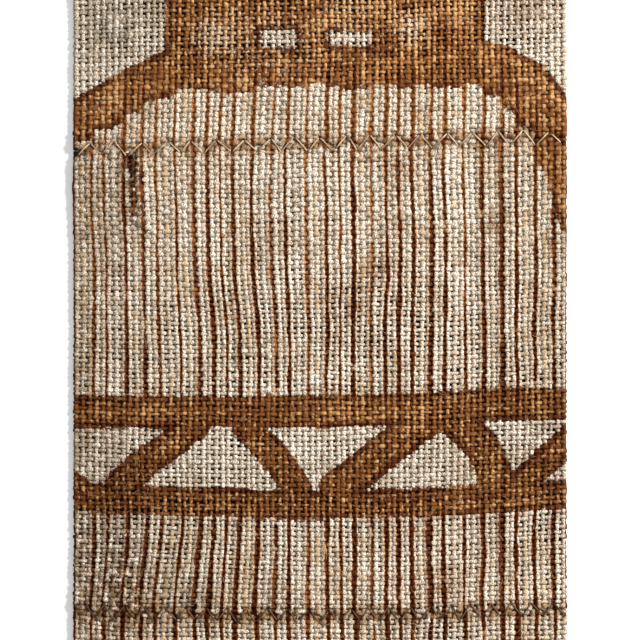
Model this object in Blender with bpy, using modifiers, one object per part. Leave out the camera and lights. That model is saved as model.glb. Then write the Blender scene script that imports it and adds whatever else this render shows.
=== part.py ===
"""Korhogo cloth: a cut length of painted cotton, three hand-woven strips wide.

Metres, +Z up. The cloth lies face up on the surface z = 0. X runs along the strips (their warp) and Y across
them. The origin is on the surface, below the middle of the whole piece. The strips lie edge to edge, as
they do when they are sewn, and each is one sheet of cloth.
"""

import math

import bmesh
import bpy

# Driving sizes
STRIP_WIDTH = 0.110  # a strip from selvedge to selvedge
CUT_LENGTH = 0.1163  # the length that was cut off, along the strips
CLOTH_THICKNESS = 0.0014  # one warp yarn over one weft yarn
BUTT_GAP = 0.0003  # between the selvedges that a seam holds together

# How finely the sheets are divided
CELLS_ALONG = 26
CELLS_ACROSS = 24

HALF_LENGTH = CUT_LENGTH / 2
OUTER_EDGE = 1.5 * STRIP_WIDTH  # from the middle line to the outer selvedges
SEAM_EDGE = 0.5 * STRIP_WIDTH  # from the middle line to a seam

# Selvedge lines, from the top of the cloth to its bottom. A line stands at y = height, leans by "rise" from the
# left cut end to the right one, and its middle bows up by "bow".
SELVEDGES = {
    "top": {"height": OUTER_EDGE - 0.0004, "rise": 0.0, "bow": 0.0004},
    "upper_seam": {"height": SEAM_EDGE + 0.0006, "rise": 0.0031, "bow": 0.0},
    "lower_seam": {"height": -SEAM_EDGE + 0.0010, "rise": 0.0004, "bow": -0.0013},
    "bottom": {"height": -OUTER_EDGE + 0.0005, "rise": 0.0, "bow": -0.0005},
}

# Each strip, with the selvedge lines above and below it, and its shade of unbleached cotton
STRIPS = {
    "strip_upper": {"above": "top", "below": "upper_seam", "shade": (0.60, 0.53, 0.43)},
    "strip_middle": {"above": "upper_seam", "below": "lower_seam", "shade": (0.64, 0.56, 0.46)},
    "strip_lower": {"above": "lower_seam", "below": "bottom", "shade": (0.58, 0.51, 0.41)},
}

# Low swells where the cloth doesn't quite lie flat: the middle of each in metres, its reach along and across
# the strips, and how far it lifts the cloth off the surface.
SWELLS = [
    {"x": -0.044, "y": 0.046, "along": 0.016, "across": 0.009, "lift": 0.0009},
    {"x": -0.008, "y": 0.047, "along": 0.022, "across": 0.007, "lift": 0.0006},
    {"x": 0.038, "y": 0.048, "along": 0.018, "across": 0.008, "lift": 0.0008},
    {"x": -0.030, "y": 0.066, "along": 0.020, "across": 0.007, "lift": 0.0005},
    {"x": 0.020, "y": 0.067, "along": 0.024, "across": 0.008, "lift": 0.0006},
    {"x": -0.034, "y": -0.048, "along": 0.017, "across": 0.008, "lift": 0.0006},
    {"x": 0.012, "y": -0.049, "along": 0.020, "across": 0.007, "lift": 0.0008},
    {"x": 0.046, "y": -0.063, "along": 0.015, "across": 0.008, "lift": 0.0007},
    {"x": -0.018, "y": -0.064, "along": 0.020, "across": 0.008, "lift": 0.0005},
    {"x": -0.052, "y": 0.120, "along": 0.012, "across": 0.030, "lift": 0.0007},
    {"x": 0.050, "y": -0.125, "along": 0.014, "across": 0.026, "lift": 0.0008},
]
SEAM_RIDGE_LIFT = 0.0004  # the sewn selvedges push each other up by this much
SEAM_RIDGE_REACH = 0.0035
LEAST_LIFT = 0.00005  # a swell lower than this lies on the surface

COTTON_ROUGHNESS = 0.95


def clear_scene():
    for thing in list(bpy.data.objects):
        bpy.data.objects.remove(thing, do_unlink=True)


def selvedge_y(line, x):
    """Height on the cloth of a selvedge line at x."""
    along = x / HALF_LENGTH
    row = SELVEDGES[line]
    return row["height"] + row["rise"] * along / 2 + row["bow"] * (1 - along * along)


def ridge(distance, reach):
    """A bell that is 1 at no distance and dies away past its reach."""
    return math.exp(-((distance / reach) ** 2))


def lift_at(x, y):
    """How far the underside of the cloth stands off the surface."""
    lift = sum(
        row["lift"] * ridge(x - row["x"], row["along"]) * ridge(y - row["y"], row["across"])
        for row in SWELLS
    )
    for seam in ("upper_seam", "lower_seam"):
        lift += SEAM_RIDGE_LIFT * ridge(y - selvedge_y(seam, x), SEAM_RIDGE_REACH)
    return max(0.0, lift - LEAST_LIFT)


def cotton(name, shade):
    material = bpy.data.materials.new(name)
    material.use_nodes = True
    shader = material.node_tree.nodes["Principled BSDF"]
    shader.inputs["Base Color"].default_value = (*shade, 1.0)
    shader.inputs["Roughness"].default_value = COTTON_ROUGHNESS
    shader.inputs["Metallic"].default_value = 0.0
    return material


def shape_strip(sheet, above, below):
    """Gives a flat unit grid the strip's outline, and lays it on the surface with its swells."""
    shaper = bmesh.new()
    shaper.from_mesh(sheet.data)
    for point in shaper.verts:
        x = point.co.x * CUT_LENGTH
        top = selvedge_y(above, x) - (BUTT_GAP / 2 if above != "top" else 0.0)
        bottom = selvedge_y(below, x) + (BUTT_GAP / 2 if below != "bottom" else 0.0)
        y = bottom + (point.co.y + 0.5) * (top - bottom)
        point.co = (x, y, lift_at(x, y))
    shaper.to_mesh(sheet.data)
    shaper.free()


def weave_strip(name, row, collection):
    bpy.ops.mesh.primitive_grid_add(
        x_subdivisions=CELLS_ALONG, y_subdivisions=CELLS_ACROSS, size=1.0
    )
    sheet = bpy.context.object
    sheet.name = name
    sheet.data.name = name
    shape_strip(sheet, row["above"], row["below"])
    body = sheet.modifiers.new("cloth_thickness", "SOLIDIFY")
    body.thickness = CLOTH_THICKNESS
    body.offset = 1.0
    body.use_even_offset = False
    sheet.data.materials.append(cotton(name + "_cotton", row["shade"]))
    sheet.data.shade_smooth()
    for home in list(sheet.users_collection):
        home.objects.unlink(sheet)
    collection.objects.link(sheet)
    return sheet


def main():
    clear_scene()
    cloth = bpy.data.collections.new("korhogo_cloth")
    bpy.context.scene.collection.children.link(cloth)
    for name, row in STRIPS.items():
        weave_strip(name, row, cloth)


main()
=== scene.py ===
import math

import bpy
import numpy as np
from bpy.props import FloatProperty, FloatVectorProperty, IntProperty, PointerProperty
from bpy.types import Operator, Panel, PropertyGroup
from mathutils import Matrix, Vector
from mathutils.bvhtree import BVHTree


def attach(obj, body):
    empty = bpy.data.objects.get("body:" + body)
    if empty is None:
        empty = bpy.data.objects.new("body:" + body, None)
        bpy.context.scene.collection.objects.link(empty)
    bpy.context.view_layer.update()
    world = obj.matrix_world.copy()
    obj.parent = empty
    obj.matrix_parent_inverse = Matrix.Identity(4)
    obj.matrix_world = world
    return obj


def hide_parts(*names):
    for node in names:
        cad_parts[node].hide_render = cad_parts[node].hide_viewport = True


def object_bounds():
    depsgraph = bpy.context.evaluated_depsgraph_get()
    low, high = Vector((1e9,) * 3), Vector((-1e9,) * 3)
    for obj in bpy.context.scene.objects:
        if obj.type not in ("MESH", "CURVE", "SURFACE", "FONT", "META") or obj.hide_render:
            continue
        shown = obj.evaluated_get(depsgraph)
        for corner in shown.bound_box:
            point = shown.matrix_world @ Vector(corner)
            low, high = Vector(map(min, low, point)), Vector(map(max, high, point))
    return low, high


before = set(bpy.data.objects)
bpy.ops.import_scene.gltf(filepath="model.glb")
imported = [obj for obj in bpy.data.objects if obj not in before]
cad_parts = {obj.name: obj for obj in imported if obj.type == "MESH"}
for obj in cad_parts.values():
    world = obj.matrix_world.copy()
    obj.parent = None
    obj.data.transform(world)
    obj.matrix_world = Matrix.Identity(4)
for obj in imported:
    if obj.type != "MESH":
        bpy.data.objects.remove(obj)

CAD_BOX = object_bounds()

bl_info = {
    "name": "Korhogo Cloth",
    "version": (1, 0, 0),
    "blender": (4, 5, 0),
    "location": "View3D > Sidebar > Korhogo Cloth",
    "description": "Weaves, paints and sews a cut length of korhogo cloth around its packed model",
    "category": "Object",
}


def table(columns, *rows):
    """Rows of values under named columns."""
    return tuple(dict(zip(columns.split(), row)) for row in rows)


# The cloth, in metres. X runs along the strips and their warp, Y across them, and Z out of the painted face.
STRIPS = ("strip_lower", "strip_middle", "strip_upper")
CLOTH_LOW, CLOTH_HIGH = CAD_BOX
HALF_CUT = (CLOTH_HIGH[0] - CLOTH_LOW[0]) / 2
THICKNESS = 0.0014
MM = 1000  # lengths that are marked on the yarns for their materials are in millimetres

# Where a strip's solid is read
PROBE_HEIGHT = 0.0012  # inside every strip's edge, from just over the surface up to the highest swell
PROBES = 48  # places along each side
PROBE_INSET = 0.0003  # from a cut end to the first place
PROBE_SHARES = (0.002, 0.998)  # from selvedge to selvedge

# A piece's flat map: where each of its two halves starts up it, and how high that half is
TOP_MAP, UNDER_MAP, MAP_MARGIN = (0.31, 0.68), (0.01, 0.28), 0.01
FACES_UP = 0.2  # a face belongs to the upper half if its normal rises by more than this

# How a yarn's tube is divided
SIDES = 5
FIBRE_SIDES = 3
QUARTER = 0.25  # a yarn has a ring a quarter of a pitch before and after each yarn that it crosses
BEND_AT_CUT = 0.3  # how much of its bend a warp still has at its cut end
CUT_SHORT = (0.00002, 0.00022)  # how far a warp ends before the cut line, from least to most
# Yarns stray less by an edge: how far in they stray freely, and the share of it that is left at the edge
BY_SELVEDGE, BY_CUT_END, PULLED_BY_CUT_END = (0.002, 0.2), (0.003, 0.15), (0.025, 0)
# How the warp and the weft behave where the cloth is dense, and the seeds of their random values
HABITS = {
    "warp": {"crimp": 0.35, "packing": 1.0, "crimp_seed": 81, "gauge_seed": 7, "tone_seed": 70},
    "weft": {"crimp": -0.35, "packing": 0.9, "crimp_seed": 82, "gauge_seed": 9, "tone_seed": 50},
}

# The painted design. Each brush stroke follows a path and has a width.
STROKES = table(
    "name width path",
    ("shoulders", 0.0100, ((-0.0650, 0.0560), (-0.0465, 0.0672), (-0.0350, 0.0728), (0.0000, 0.0736),
                           (0.0330, 0.0749), (0.0430, 0.0738))),
    ("right_arm", 0.0125, ((0.0400, 0.0733), (0.0480, 0.0697), (0.0545, 0.0620), (0.0590, 0.0520),
                           (0.0625, 0.0390))),
    ("upper_band", 0.0076, ((-0.0650, -0.0078), (0.0100, -0.0072), (0.0650, -0.0052))),
    ("lower_band", 0.0068, ((-0.0650, -0.0272), (-0.0080, -0.0297), (0.0115, -0.0291), (0.0650, -0.0270))),
    ("zigzag_1", 0.0070, ((-0.0700, -0.0160), (-0.0565, -0.0270))),
    ("zigzag_2", 0.0073, ((-0.0470, -0.0245), (-0.0295, -0.0105))),
    ("zigzag_3", 0.0074, ((-0.0172, -0.0108), (-0.0115, -0.0172), (-0.0050, -0.0262))),
    ("zigzag_4", 0.0084, ((0.0040, -0.0255), (0.0225, -0.0112), (0.0300, -0.0066))),
    ("zigzag_5", 0.0082, ((0.0325, -0.0100), (0.0385, -0.0158), (0.0425, -0.0245))),
    ("zigzag_6", 0.0068, ((0.0475, -0.0245), (0.0640, -0.0092))),
    # A painted shadow along the left side of the crease, laid on as a thin brown stroke
    ("run_by_crease", 0.0011, ((-0.0442, 0.0530), (-0.0439, 0.0390))),
    ("foot_band", 0.0080, ((-0.0650, -0.1500), (0.0, -0.1507), (0.0650, -0.1496))),
)
# The upright block above the shoulders, the two gaps in it that are left undyed, and where the dye is worn
UPRIGHT = {"left": -0.0366, "right": 0.0390, "bottom": 0.0720, "top": 0.1430}
UNDYED = table(
    "left right bottom top",
    (-0.0138, -0.0056, 0.0780, 0.0820),
    (0.0023, 0.0122, 0.0787, 0.0820),
)
WORN = table(
    "x y reach wear",
    (-0.0252, 0.0810, 0.0042, 0.75),
    (0.0217, 0.0830, 0.0040, 0.80),
    (0.0330, 0.0870, 0.0040, 0.35),
    (0.0080, 0.0880, 0.0060, 0.30),
    (-0.0150, 0.0790, 0.0130, 0.34),
    (0.0040, 0.0820, 0.0120, 0.18),
    (-0.0510, 0.0650, 0.0080, 0.20),
    (0.0510, 0.0680, 0.0080, 0.20),
    (-0.0080, 0.0460, 0.0120, 0.40),
    (0.0160, 0.0380, 0.0090, 0.30),
)
# Tan and grey stains. Some rows are painted shade: the broad patches at the corners of the view, and those on
# the left of the crease
STAINS = {
    "tan": table(
        "x y reach strength",
        (0.0071, 0.0188, 0.0048, 1.00),
        (0.0141, 0.0259, 0.0040, 0.95),
        # the next two rows are painted shadow on the left of the crease
        (-0.0440, 0.0470, 0.0030, 1.00),
        (-0.0438, 0.0400, 0.0026, 0.90),
        (-0.0100, 0.0340, 0.0060, 0.35),
        (-0.0210, 0.0150, 0.0050, 0.35),
        (0.0480, -0.0630, 0.0050, 0.55),
        (-0.0100, -0.0500, 0.0035, 0.60),
        (-0.0430, -0.0530, 0.0060, 0.90),
        (-0.0180, -0.0460, 0.0050, 0.70),
        (0.0300, -0.0490, 0.0060, 0.60),
        (0.0180, 0.0500, 0.0050, 0.60),
        (0.0410, 0.0350, 0.0050, 0.50),
        (0.0407, 0.0370, 0.0014, 1.00),
        (0.0254, 0.0414, 0.0011, 1.00),
        (0.0447, 0.0690, 0.0012, 1.00),
        # the next two rows are painted shade in corners of the view
        (0.0500, 0.0860, 0.0110, 0.55),
        (-0.0440, -0.0480, 0.0110, 0.60),
        # the next three rows are painted shadow on the left of the crease
        (-0.0452, 0.0525, 0.0017, 1.00),
        (-0.0451, 0.0495, 0.0018, 1.00),
        (-0.0449, 0.0435, 0.0018, 0.90),
        (-0.0421, 0.0510, 0.0013, 0.55),
        (-0.0421, 0.0480, 0.0013, 0.55),
        (-0.0420, 0.0450, 0.0013, 0.50),
        (-0.0419, 0.0420, 0.0013, 0.50),
    ),
    "grey": table(
        "x y reach strength",
        (-0.0300, -0.0520, 0.0060, 0.80),
        (-0.0120, -0.0530, 0.0035, 0.80),
        (0.0350, 0.0300, 0.0022, 0.80),
        (0.0407, 0.0374, 0.0012, 1.00),
        (-0.0490, 0.0824, 0.0046, 0.80),
        # painted shadow on the left of the crease
        (-0.0440, 0.0500, 0.0028, 0.60),
        (-0.0550, 0.1300, 0.0080, 0.35),
        # the next three rows are painted shade in corners of the view
        (-0.0480, 0.0880, 0.0150, 0.70),
        (0.0520, 0.0880, 0.0110, 0.30),
        (-0.0520, -0.0450, 0.0160, 0.75),
        # painted shadow on the left of the crease
        (-0.0450, 0.0480, 0.0020, 0.80),
    ),
}
# Thick places in the handspun yarns
SLUBS = table(
    "yarn x y length swell",
    ("weft", -0.0490, 0.0838, 0.0022, 1.8),
    ("warp", -0.0457, 0.0812, 0.0020, 1.4),
    ("warp", -0.0474, 0.0850, 0.0024, 1.6),
    ("warp", -0.0424, 0.0367, 0.0012, 1.8),
    ("weft", -0.0424, 0.0367, 0.0011, 1.3),
    ("weft", 0.0330, 0.0190, 0.0030, 0.7),
    ("warp", 0.0080, -0.0450, 0.0030, 0.8),
    ("weft", -0.0300, 0.0040, 0.0030, 0.6),
    ("warp", 0.0450, 0.0350, 0.0035, 0.7),
    ("weft", 0.0200, -0.1100, 0.0040, 0.9),
    ("warp", -0.0350, 0.1200, 0.0040, 0.9),
)
SLUB_REACH = 0.00065  # to either side of the yarn that is thick
# Small upright creases in the cloth, each leaning to the right by "lean" as it goes up, and three lumps
CREASES = table(
    "x y lean half_width reach lift",
    (-0.0426, 0.0465, 0.02, 0.0012, 0.0080, 0.00095),
    (-0.0450, 0.0480, 0.00, 0.0012, 0.0065, -0.00040),
    (0.0300, 0.0500, 0.10, 0.0022, 0.0040, 0.00030),
    (-0.0060, -0.0480, -0.10, 0.0020, 0.0040, 0.00035),
    (-0.0412, 0.0366, 0.00, 0.0014, 0.0011, 0.00065),
    (-0.0493, 0.0836, 0.10, 0.0009, 0.0019, 0.00060),
    (-0.0449, 0.0819, 0.00, 0.0015, 0.0010, 0.00050),
)
# Where the wefts slant: the top of a slant moves to the right by "shift", and its foot to the left
SLANTS = table(
    "x reach top foot across shift",
    (-0.0360, 0.0200, -0.0330, -0.0560, 0.0110, 0.0011),
    (-0.0220, 0.0200, 0.0480, -0.0020, 0.0220, -0.0008),
)
# Places where a seam has parted, dimpled there and darkened as painted shade where the gap shows
PARTED = table("x y reach open", (-0.0576, 0.0531, 0.0011, 1.0), (-0.0054, -0.0536, 0.0007, 1.0))
HATCHED = ((-0.0060, 1.0), (-0.1500, -0.0290))  # from which height on the cloth to which
HATCHING_FADE = 0.0010
LINE_STEPS = (2.0, 2.0, 3.0)  # wefts from one hatching line to the next, each as likely
ARCH = tuple(zip(*STROKES[0]["path"], *STROKES[1]["path"][1:]))  # the hatching stays below it

# Where handwork is uneven. Each layer of patches has a strength, a size of patch and a seed.
WOBBLE_ALONG = ((0.7, 0.011, 11), (0.35, 0.0032, 12))
WOBBLE_ACROSS = ((0.7, 0.012, 13), (0.35, 0.0035, 14))
UNEVEN_DENSITY = ((0.30, 0.014, 21), (0.38, 0.0040, 22))
UNEVEN_CLOTH = ((0.00012, 0.009, 31), (0.00007, 0.0033, 32))
GATHERING = (0.7, 0.0037, 91)

# The machine zigzag that holds each pair of strips together
SEAMS = table(
    "name below above period shift finish seed",
    ("upper_seam", "strip_middle", "strip_upper", 0.0060, 0.4, "pale", 610),
    ("lower_seam", "strip_lower", "strip_middle", 0.0048, 0.1, "dark", 489),
)
HOLE_STRAY, HOLE_REACH = (-0.19, 0.19), (0.74, 1.16)  # how unevenly it is sewn, as shares of a stitch
# How the zigzag shapes the cloth: how high or deep, how far from the joint, and how far it reaches
PUFF, PUFF_OFF, PUFF_REACH = 0.00038, 0.0011, 0.0009
SWELL, SWELL_OFF, SWELL_REACH = 0.00020, 0.0030, 0.0014
GROOVE, GROOVE_REACH = 0.00025, 0.00060
DIMPLE, DIMPLE_REACH = 0.00045, 0.00048
STITCH_SHADOW_REACH, STITCH_SLOPE = 0.00042, 1.5  # how far the painted shadow and grime under a stitch reach beside it, and how steeply the stitch runs
LEAST_MIDDLE = THICKNESS / 2 - 0.00003  # the middle of the cloth stands no lower

# Grime, stains and painted shade, which the colour under them is multiplied by
TAN_STAIN_AND_SHADE = (0.46, 0.27, 0.115, 1)
GREY_STAIN_AND_SHADE = (0.36, 0.325, 0.27, 1)
SEAM_GRIME = (0.46, 0.270, 0.105, 1)
JOINT_GRIME = (0.22, 0.115, 0.045, 1)
STITCH_SHADOW_AND_GRIME = (0.36, 0.20, 0.090, 1)
CUT_END_SHADE_REACH, GRIME_REACH = 0.014, 0.0022  # how far the painted shade reaches from a cut end, and how far the grime reaches from a seam

# What is marked on each yarn for its material
MARKS = (
    "level", "tone", "along", "across", "dye", "worn", "line_number", "line_gap", "hatched", "tan", "grey",
    "by_seam", "needle", "thread",
)

FLOOR_SIZE, FLOOR_HEIGHT, CARD_HEIGHT = 6, -0.0002, -0.0001
CARD_SIZE = 2  # a metre to each side, so that its scale is half its size in metres
CARD_INSET = (0.0003, 0.0005)
LAMPS = table(
    "name place size watts",
    ("key_light", (0.60, 0.30, 0.46), 0.18, 11.6),
    ("fill_light", (0.05, 0.15, 0.75), 0.50, 1.3),
)
ROOM_LIGHT = 0.22


def length_setting(name, description, default, precision=5):
    return FloatProperty(
        name=name, description=description, default=default, unit="LENGTH", precision=precision
    )


def colour_setting(name, description, *default):
    return FloatVectorProperty(
        name=name, description=description, default=(*default, 1), subtype="COLOR", size=4, min=0, max=1
    )


class WeaveSettings(PropertyGroup):
    """Sizes of the hand-woven strips"""

    weft_count: IntProperty(name="Wefts", description="Weft yarns over the cut length", default=76, min=4)
    warp_count: IntProperty(name="Warps", description="Warp yarns in one strip", default=97, min=4)
    weft_width: length_setting("Weft width", "Width of a weft yarn", 0.00098)
    weft_height: length_setting("Weft height", "Thickness of a weft yarn", 0.00070)
    warp_width: length_setting("Warp width", "Width of a warp yarn", 0.00085)
    warp_height: length_setting("Warp height", "Thickness of a warp yarn", 0.00064)
    crimp: length_setting("Crimp", "How far a yarn bends up and down at its crossings", 0.00029)
    packing: FloatProperty(
        name="Packing", description="How much fuller the yarns are where the cloth is dense", default=0.38,
        min=0, max=1, subtype="FACTOR",
    )
    wander: length_setting("Wander", "How far a yarn strays from its straight line", 0.00018)
    spacing: length_setting("Spacing", "How unevenly the yarns are spaced", 0.00019)
    pull: length_setting("Pull", "How far the wefts are pulled out of line over a few centimetres", 0.00045)
    turn: length_setting(
        "Selvedge turn", "From a selvedge to its last warp, round which the weft turns back", 0.00045
    )


class DyeSettings(PropertyGroup):
    """Colours of the cotton and of the plant dye on it, and sizes of the drawing"""

    cotton: colour_setting("Cotton", "Clean unbleached cotton", 0.71, 0.630, 0.522)
    dusty_cotton: colour_setting("Dusty cotton", "Greyer yarn", 0.42, 0.320, 0.218)
    husk: colour_setting("Husk", "Specks of husk in the cotton", 0.30, 0.17, 0.07)
    brown: colour_setting("Brown dye", "The brown that fills the shapes", 0.172, 0.060, 0.0145)
    # The worn brown also paints the highlight on the crests, and the dark dye the shade deep in the weave
    pale_brown: colour_setting("Worn brown", "Brown on the crests of the yarns", 0.42, 0.190, 0.064)
    rubbed: colour_setting("Rubbed brown", "Fibres whose dye has rubbed off", 0.53, 0.325, 0.145)
    dark_brown: colour_setting("Dark dye", "Outlines, and dye deep in the weave", 0.080, 0.018, 0.0035)
    rust: colour_setting("Rust", "The paler hatching", 0.180, 0.053, 0.010)
    line_width: length_setting("Line width", "Width of a hatching line", 0.00104)
    hand_wobble: length_setting("Hand wobble", "How far a painted edge strays from its stroke", 0.00055)


class SewingSettings(PropertyGroup):
    """Sizes of the zigzag seams and of the loose fibres"""

    zigzag_width: length_setting("Zigzag width", "From needle hole to needle hole across a seam", 0.0035)
    thread: length_setting("Thread", "Diameter of the sewing thread", 0.00034)
    fibres: IntProperty(name="Fibres", description="Loose cotton fibres on the cloth", default=4200, min=3)
    pale_thread: colour_setting("Pale thread", "The upper seam's thread", 0.60, 0.44, 0.27)
    dark_thread: colour_setting("Dark thread", "The lower seam's thread", 0.14, 0.066, 0.025)


class StageSettings(PropertyGroup):
    """The camera, the floor and the lights"""

    scale: length_setting("Scale", "Width of the picture at the cloth", 0.1507, precision=4)
    aim: length_setting("Aim", "Height on the cloth that the camera looks at", 0.0141, precision=4)
    lens: FloatProperty(name="Lens", description="Focal length in millimetres", default=100, unit="CAMERA")
    floor: colour_setting("Floor", "Colour of the floor", 0.95, 0.95, 0.95)
    glow: FloatProperty(
        name="Glow", description="Light that the floor gives off, which keeps it white away from the lamps",
        default=0.25, min=0,
    )
    # A dark sheet under the cloth that stands in for the shade in the gaps between its yarns
    card: colour_setting("Card", "The card under the cloth, which keeps its gaps dark", 0.018, 0.009, 0.005)


# Smooth random values


def eased(share):
    return share * share * (3 - 2 * share)


def patchy(x, y, patch, seed):
    """Smooth random values from -1 to 1 over places in metres, in patches of about that size."""
    lattice = np.random.default_rng(seed).uniform(-1, 1, (64, 64))
    column, row = np.asarray(x) / patch, np.asarray(y) / patch
    left, below = np.floor(column).astype(int), np.floor(row).astype(int)
    across, up = eased(column - left), eased(row - below)
    corners = [lattice[(below + j) % 64, (left + i) % 64] for j in (0, 1) for i in (0, 1)]
    low = corners[0] * (1 - across) + corners[1] * across
    high = corners[2] * (1 - across) + corners[3] * across
    return low * (1 - up) + high * up


def bell(distance, reach):
    return np.exp(-((distance / reach) ** 2))


def faded(value, start, end):
    """0 below start and 1 above end, or the other way round, with a smooth step between."""
    return eased(np.clip((value - start) / (end - start), 0, 1))


def layered(x, y, layers):
    """Uneven values, as patches of several sizes over each other."""
    return sum(strength * patchy(x, y, patch, seed) for strength, patch, seed in layers)


def patches_of(rows, x, y, key):
    """Round patches, each as strong as its row says and dying away past its reach."""
    return sum(row[key] * bell(np.hypot(x - row["x"], y - row["y"]), row["reach"]) for row in rows)


# The design, as distances in metres over the cloth


def stroke_distance(x, y, stroke):
    """How far a place is outside a brush stroke, or inside it if that is negative."""
    nearest = np.full(np.shape(x), np.inf)
    for (x0, y0), (x1, y1) in zip(stroke["path"], stroke["path"][1:]):
        run, rise = x1 - x0, y1 - y0
        share = np.clip(((x - x0) * run + (y - y0) * rise) / (run * run + rise * rise), 0, 1)
        nearest = np.minimum(nearest, np.hypot(x - x0 - share * run, y - y0 - share * rise))
    return nearest - stroke["width"] / 2


def block_distance(x, y, block):
    """The same for an upright block."""
    across = np.maximum(block["left"] - x, x - block["right"])
    up = np.maximum(block["bottom"] - y, y - block["top"])
    outside = np.hypot(np.maximum(across, 0), np.maximum(up, 0))
    return outside + np.minimum(np.maximum(across, up), 0)


def dye_distance(x, y):
    """How far a place is outside the brown shapes. Their edges stray as a hand does."""
    wobble = bpy.context.scene.korhogo_dye.hand_wobble
    x = x + wobble * layered(x, y, WOBBLE_ALONG)
    y = y + wobble * layered(x, y, WOBBLE_ACROSS)
    brown = block_distance(x, y, UPRIGHT)
    for stroke in STROKES:
        brown = np.minimum(brown, stroke_distance(x, y, stroke))
    for block in UNDYED:
        brown = np.maximum(brown, -block_distance(x, y, block))
    return brown


def hatched(x, y):
    """1 where the ground is hatched, 0 where it is bare."""
    under_arch = faded(np.interp(x, *ARCH) - y, -0.001, 0.002)
    return under_arch * sum(
        faded(y, start, start + HATCHING_FADE) * faded(y, end, end - HATCHING_FADE) for start, end in HATCHED
    )


def drawn_lines(weft_count):
    """The weft columns that the hatching lines follow, mostly in the grooves between two wefts."""
    draw = np.random.default_rng(41)
    columns, at = [], -3.5
    while at < weft_count + 3:
        columns.append(at + draw.uniform(-0.12, 0.12))
        at += draw.choice(LINE_STEPS)
    return np.array(columns)


def density(x, y):
    """1 where the weave is packed, under the shoulders and by the lower seam, and 0 where it is open."""
    under_shoulders = faded(y, 0.016, 0.036) * faded(y, 0.074, 0.068)
    by_lower_seam = bell(y + 0.052, 0.012)
    above_shoulders = faded(y, 0.070, 0.082)
    packed = 0.25 + 0.80 * np.maximum(under_shoulders, 0.6 * by_lower_seam) - 0.22 * above_shoulders
    return np.clip(packed + layered(x, y, UNEVEN_DENSITY), 0, 1.2)


# The strips


class Strip:
    """A strip as its solid lies: the lines of its selvedges, and how high its underside stands."""

    def __init__(self, node):
        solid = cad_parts[node].data
        faces = [tuple(face.vertices) for face in solid.polygons]
        tree = BVHTree.FromPolygons([point.co for point in solid.vertices], faces)

        def met(start, toward):
            return tree.ray_cast(Vector(start), Vector(toward))[0]

        self.node = node
        self.seed = 100 * STRIPS.index(node)
        self.x = np.linspace(PROBE_INSET - HALF_CUT, HALF_CUT - PROBE_INSET, PROBES)
        self.lower = np.array([met((x, -1, PROBE_HEIGHT), (0, 1, 0)).y for x in self.x])
        self.upper = np.array([met((x, 1, PROBE_HEIGHT), (0, -1, 0)).y for x in self.x])
        self.share = np.linspace(*PROBE_SHARES, PROBES)
        self.lift = np.array([
            [met((x, low + share * (high - low), -1), (0, 0, 1)).z for share in self.share]
            for x, low, high in zip(self.x, self.lower, self.upper)
        ])

    def edges(self, x):
        return np.interp(x, self.x, self.lower), np.interp(x, self.x, self.upper)

    def lift_at(self, x, y):
        """Height of the underside, between the places that were read."""
        low, high = self.edges(x)
        column = np.clip((x - self.x[0]) / (self.x[-1] - self.x[0]), 0, 1) * (PROBES - 1)
        row = np.clip(((y - low) / (high - low) - self.share[0]) / np.ptp(self.share), 0, 1) * (PROBES - 1)
        i = np.minimum(column.astype(int), PROBES - 2)
        j = np.minimum(row.astype(int), PROBES - 2)
        a, b = eased(column - i), eased(row - j)
        left = self.lift[i, j] * (1 - b) + self.lift[i, j + 1] * b
        right = self.lift[i + 1, j] * (1 - b) + self.lift[i + 1, j + 1] * b
        return left * (1 - a) + right * a


strips = {}


def seam_line(seam, x):
    """Height on the cloth of the joint between two strips."""
    below, above = strips[seam["below"]], strips[seam["above"]]
    return (below.edges(x)[1] + above.edges(x)[0]) / 2


def needle_holes(seam):
    """Where the needle went through: places along the joint, on alternate sides of it."""
    half = seam["period"] / 2
    count = int((2 * HALF_CUT) / half) + 1
    draw = np.random.default_rng(seam["seed"])
    x = -HALF_CUT + (np.arange(count) + seam["shift"]) * half + draw.uniform(*HOLE_STRAY, count) * half
    side = np.where(np.arange(count) % 2, 1, -1)
    reach = bpy.context.scene.korhogo_sewing.zigzag_width / 2 * draw.uniform(*HOLE_REACH, count)
    keep = (x > -HALF_CUT + 0.0004) & (x < HALF_CUT - 0.0004)
    x, side, reach = x[keep], side[keep], reach[keep]
    return x, seam_line(seam, x) + side * reach


def near_needles(x, y):
    """1 at a needle hole or where a seam has parted, dying away round it."""
    depth = np.zeros(np.shape(x))
    for seam in SEAMS:
        for hole_x, hole_y in zip(*needle_holes(seam)):
            beside = (abs(x - hole_x) < 0.002) & (abs(y - hole_y) < 0.002)
            away = np.hypot(x[beside] - hole_x, y[beside] - hole_y)
            depth[beside] = np.maximum(depth[beside], bell(away, DIMPLE_REACH))
    return np.maximum(depth, patches_of(PARTED, x, y, "open"))


def stitch_shadow(x, y):
    """1 under a stitch, dying away beside it: where the painted shadow and grime of the stitch go."""
    beside = np.zeros(np.shape(x))
    for seam in SEAMS:
        hole_x, hole_y = needle_holes(seam)
        beside = np.maximum(beside, bell((y - np.interp(x, hole_x, hole_y)) / STITCH_SLOPE, STITCH_SHADOW_REACH))
    return beside


def sewn_relief(x, y):
    """How the zigzag draws the cloth in: a groove on each joint, a dimple at each hole, and puffs between."""
    height = np.zeros(np.shape(x))
    for seam in SEAMS:
        off = y - seam_line(seam, x)
        turn = 2 * math.pi * (x + HALF_CUT) / seam["period"] - seam["shift"] * math.pi
        puff = np.cos(turn) * np.sign(off) * bell(abs(off) - PUFF_OFF, PUFF_REACH)
        gathered = 1 + layered(x, 0 * x, [GATHERING])
        height += PUFF * gathered * puff - GROOVE * (2 - gathered) * bell(off, GROOVE_REACH)
        height += SWELL * bell(abs(off) - SWELL_OFF, SWELL_REACH)
    return height - DIMPLE * near_needles(x, y)


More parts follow.
